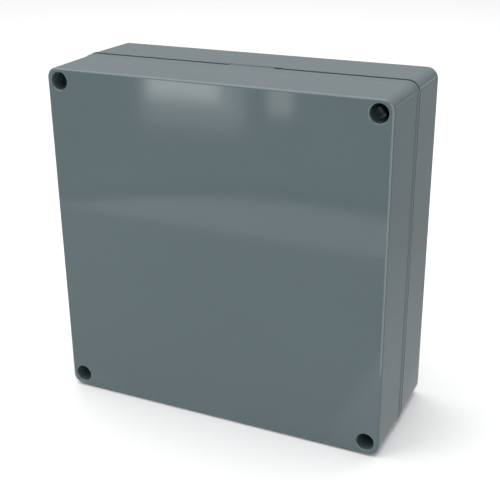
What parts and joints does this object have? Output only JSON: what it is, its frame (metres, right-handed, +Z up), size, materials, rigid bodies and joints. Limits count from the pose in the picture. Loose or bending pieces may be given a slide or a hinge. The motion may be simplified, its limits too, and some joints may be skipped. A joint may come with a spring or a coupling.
{
  "type": "electrical junction box",
  "caption": "Square grey moulded junction box with a deep screw-down lid, corner screw wells, a seam gasket, and rail terminals with rising clamps inside.",
  "frame": {"origin": "middle of the lower edge face, at the centre of the bounding box's underside, where the box stands", "axes": "+X to the right seen from the lid side, +Y from the lid to the wall face (the back), +Z up; the box is square in X and Z and shallow in Y"},
  "size_m": [0.16, 0.062, 0.16],
  "materials": {
    "shell_abs": "injection-moulded ABS, glossy, slate grey",
    "gasket_foam": "foamed polyurethane, matt",
    "insert_brass": "turned",
    "screw_steel": "stainless, turned",
    "washer_rubber": "nitrile, matt",
    "rail_zinc": "zinc plated, blue passivated",
    "rail_screw_zinc": "zinc plated",
    "terminal_grey": "polyamide, fine grain",
    "terminal_blue": "polyamide, fine grain",
    "terminal_green_yellow": "polyamide, green with yellow",
    "bracket_pa": "polyamide, fine grain",
    "bar_copper": "tinned copper",
    "cage_nickel": "nickel-plated steel",
    "clamp_screw_zinc": "zinc plated"
  },
  "bodies": {
    "base": {"base_box": "shell_abs", "thread_inserts": "insert_brass", "mounting_rail": "rail_zinc", "rail_screws": "rail_screw_zinc", "end_plate": "terminal_grey", "end_bracket_left": "bracket_pa", "end_bracket_right": "bracket_pa", "housing_line1": "terminal_grey", "housing_line2": "terminal_grey", "housing_line3": "terminal_grey", "housing_neutral": "terminal_blue", "housing_earth": "terminal_green_yellow", "current_bar_line1": "bar_copper", "current_bar_line2": "bar_copper", "current_bar_line3": "bar_copper", "current_bar_neutral": "bar_copper", "current_bar_earth": "bar_copper"},
    "lid": {"lid": "shell_abs", "lid_gasket": "gasket_foam"},
    "washer_top_right": {"screw_washer_top_right": "washer_rubber"},
    "screw_top_right": {"lid_screw_top_right": "screw_steel"},
    "washer_top_left": {"screw_washer_top_left": "washer_rubber"},
    "screw_top_left": {"lid_screw_top_left": "screw_steel"},
    "washer_bottom_left": {"screw_washer_bottom_left": "washer_rubber"},
    "screw_bottom_left": {"lid_screw_bottom_left": "screw_steel"},
    "washer_bottom_right": {"screw_washer_bottom_right": "washer_rubber"},
    "screw_bottom_right": {"lid_screw_bottom_right": "screw_steel"},
    "cage_line1_upper": {"cage_line1_upper": "cage_nickel"},
    "clamp_line1_upper": {"clamp_screw_line1_upper": "clamp_screw_zinc"},
    "cage_line1_lower": {"cage_line1_lower": "cage_nickel"},
    "clamp_line1_lower": {"clamp_screw_line1_lower": "clamp_screw_zinc"},
    "cage_line2_upper": {"cage_line2_upper": "cage_nickel"},
    "clamp_line2_upper": {"clamp_screw_line2_upper": "clamp_screw_zinc"},
    "cage_line2_lower": {"cage_line2_lower": "cage_nickel"},
    "clamp_line2_lower": {"clamp_screw_line2_lower": "clamp_screw_zinc"},
    "cage_line3_upper": {"cage_line3_upper": "cage_nickel"},
    "clamp_line3_upper": {"clamp_screw_line3_upper": "clamp_screw_zinc"},
    "cage_line3_lower": {"cage_line3_lower": "cage_nickel"},
    "clamp_line3_lower": {"clamp_screw_line3_lower": "clamp_screw_zinc"},
    "cage_neutral_upper": {"cage_neutral_upper": "cage_nickel"},
    "clamp_neutral_upper": {"clamp_screw_neutral_upper": "clamp_screw_zinc"},
    "cage_neutral_lower": {"cage_neutral_lower": "cage_nickel"},
    "clamp_neutral_lower": {"clamp_screw_neutral_lower": "clamp_screw_zinc"},
    "cage_earth_upper": {"cage_earth_upper": "cage_nickel"},
    "clamp_earth_upper": {"clamp_screw_earth_upper": "clamp_screw_zinc"},
    "cage_earth_lower": {"cage_earth_lower": "cage_nickel"},
    "clamp_earth_lower": {"clamp_screw_earth_lower": "clamp_screw_zinc"}
  },
  "joints": [
    {"name": "lid_lift", "type": "slide", "parent": "base", "child": "lid", "axis": [0, -1, 0], "range_m": [0, 0.12]},
    {"name": "screw_top_right_rise", "type": "slide", "parent": "lid", "child": "washer_top_right", "axis": [0, -1, 0], "range_m": [0, 0.008]},
    {"name": "screw_top_right_turn", "type": "hinge", "parent": "washer_top_right", "child": "screw_top_right", "pos_m": [0.0731, -0.009, 0.1531], "axis": [0, -1, 0], "range_deg": [0, 4115]},
    {"name": "screw_top_left_rise", "type": "slide", "parent": "lid", "child": "washer_top_left", "axis": [0, -1, 0], "range_m": [0, 0.008]},
    {"name": "screw_top_left_turn", "type": "hinge", "parent": "washer_top_left", "child": "screw_top_left", "pos_m": [-0.0731, -0.009, 0.1531], "axis": [0, -1, 0], "range_deg": [0, 4115]},
    {"name": "screw_bottom_left_rise", "type": "slide", "parent": "lid", "child": "washer_bottom_left", "axis": [0, -1, 0], "range_m": [0, 0.008]},
    {"name": "screw_bottom_left_turn", "type": "hinge", "parent": "washer_bottom_left", "child": "screw_bottom_left", "pos_m": [-0.0731, -0.009, 0.0069], "axis": [0, -1, 0], "range_deg": [0, 4115]},
    {"name": "screw_bottom_right_rise", "type": "slide", "parent": "lid", "child": "washer_bottom_right", "axis": [0, -1, 0], "range_m": [0, 0.008]},
    {"name": "screw_bottom_right_turn", "type": "hinge", "parent": "washer_bottom_right", "child": "screw_bottom_right", "pos_m": [0.0731, -0.009, 0.0069], "axis": [0, -1, 0], "range_deg": [0, 4115]},
    {"name": "clamp_line1_upper_turn", "type": "hinge", "parent": "base", "child": "clamp_line1_upper", "pos_m": [-0.021, -0.01, 0.0935], "axis": [0, 1, 0], "range_deg": [0, 2572]},
    {"name": "cage_line1_upper_rise", "type": "slide", "parent": "base", "child": "cage_line1_upper", "axis": [0, -1, 0], "range_m": [0, 0.005]},
    {"name": "clamp_line1_lower_turn", "type": "hinge", "parent": "base", "child": "clamp_line1_lower", "pos_m": [-0.021, -0.01, 0.0665], "axis": [0, 1, 0], "range_deg": [0, 2572]},
    {"name": "cage_line1_lower_rise", "type": "slide", "parent": "base", "child": "cage_line1_lower", "axis": [0, -1, 0], "range_m": [0, 0.005]},
    {"name": "clamp_line2_upper_turn", "type": "hinge", "parent": "base", "child": "clamp_line2_upper", "pos_m": [-0.0108, -0.01, 0.0935], "axis": [0, 1, 0], "range_deg": [0, 2572]},
    {"name": "cage_line2_upper_rise", "type": "slide", "parent": "base", "child": "cage_line2_upper", "axis": [0, -1, 0], "range_m": [0, 0.005]},
    {"name": "clamp_line2_lower_turn", "type": "hinge", "parent": "base", "child": "clamp_line2_lower", "pos_m": [-0.0108, -0.01, 0.0665], "axis": [0, 1, 0], "range_deg": [0, 2572]},
    {"name": "cage_line2_lower_rise", "type": "slide", "parent": "base", "child": "cage_line2_lower", "axis": [0, -1, 0], "range_m": [0, 0.005]},
    {"name": "clamp_line3_upper_turn", "type": "hinge", "parent": "base", "child": "clamp_line3_upper", "pos_m": [-0.0006, -0.01, 0.0935], "axis": [0, 1, 0], "range_deg": [0, 2572]},
    {"name": "cage_line3_upper_rise", "type": "slide", "parent": "base", "child": "cage_line3_upper", "axis": [0, -1, 0], "range_m": [0, 0.005]},
    {"name": "clamp_line3_lower_turn", "type": "hinge", "parent": "base", "child": "clamp_line3_lower", "pos_m": [-0.0006, -0.01, 0.0665], "axis": [0, 1, 0], "range_deg": [0, 2572]},
    {"name": "cage_line3_lower_rise", "type": "slide", "parent": "base", "child": "cage_line3_lower", "axis": [0, -1, 0], "range_m": [0, 0.005]},
    {"name": "clamp_neutral_upper_turn", "type": "hinge", "parent": "base", "child": "clamp_neutral_upper", "pos_m": [0.0096, -0.01, 0.0935], "axis": [0, 1, 0], "range_deg": [0, 2572]},
    {"name": "cage_neutral_upper_rise", "type": "slide", "parent": "base", "child": "cage_neutral_upper", "axis": [0, -1, 0], "range_m": [0, 0.005]},
    {"name": "clamp_neutral_lower_turn", "type": "hinge", "parent": "base", "child": "clamp_neutral_lower", "pos_m": [0.0096, -0.01, 0.0665], "axis": [0, 1, 0], "range_deg": [0, 2572]},
    {"name": "cage_neutral_lower_rise", "type": "slide", "parent": "base", "child": "cage_neutral_lower", "axis": [0, -1, 0], "range_m": [0, 0.005]},
    {"name": "clamp_earth_upper_turn", "type": "hinge", "parent": "base", "child": "clamp_earth_upper", "pos_m": [0.0198, -0.01, 0.0935], "axis": [0, 1, 0], "range_deg": [0, 2572]},
    {"name": "cage_earth_upper_rise", "type": "slide", "parent": "base", "child": "cage_earth_upper", "axis": [0, -1, 0], "range_m": [0, 0.005]},
    {"name": "clamp_earth_lower_turn", "type": "hinge", "parent": "base", "child": "clamp_earth_lower", "pos_m": [0.0198, -0.01, 0.0665], "axis": [0, 1, 0], "range_deg": [0, 2572]},
    {"name": "cage_earth_lower_rise", "type": "slide", "parent": "base", "child": "cage_earth_lower", "axis": [0, -1, 0], "range_m": [0, 0.005]}
  ],
  "couplings": [
    {"joint": "screw_top_right_turn", "follows": "screw_top_right_rise", "rad_per_m": 8976},
    {"joint": "screw_top_left_turn", "follows": "screw_top_left_rise", "rad_per_m": 8976},
    {"joint": "screw_bottom_left_turn", "follows": "screw_bottom_left_rise", "rad_per_m": 8976},
    {"joint": "screw_bottom_right_turn", "follows": "screw_bottom_right_rise", "rad_per_m": 8976},
    {"joint": "clamp_line1_upper_turn", "follows": "cage_line1_upper_rise", "rad_per_m": 8976},
    {"joint": "clamp_line1_lower_turn", "follows": "cage_line1_lower_rise", "rad_per_m": 8976},
    {"joint": "clamp_line2_upper_turn", "follows": "cage_line2_upper_rise", "rad_per_m": 8976},
    {"joint": "clamp_line2_lower_turn", "follows": "cage_line2_lower_rise", "rad_per_m": 8976},
    {"joint": "clamp_line3_upper_turn", "follows": "cage_line3_upper_rise", "rad_per_m": 8976},
    {"joint": "clamp_line3_lower_turn", "follows": "cage_line3_lower_rise", "rad_per_m": 8976},
    {"joint": "clamp_neutral_upper_turn", "follows": "cage_neutral_upper_rise", "rad_per_m": 8976},
    {"joint": "clamp_neutral_lower_turn", "follows": "cage_neutral_lower_rise", "rad_per_m": 8976},
    {"joint": "clamp_earth_upper_turn", "follows": "cage_earth_upper_rise", "rad_per_m": 8976},
    {"joint": "clamp_earth_lower_turn", "follows": "cage_earth_lower_rise", "rad_per_m": 8976}
  ]
}
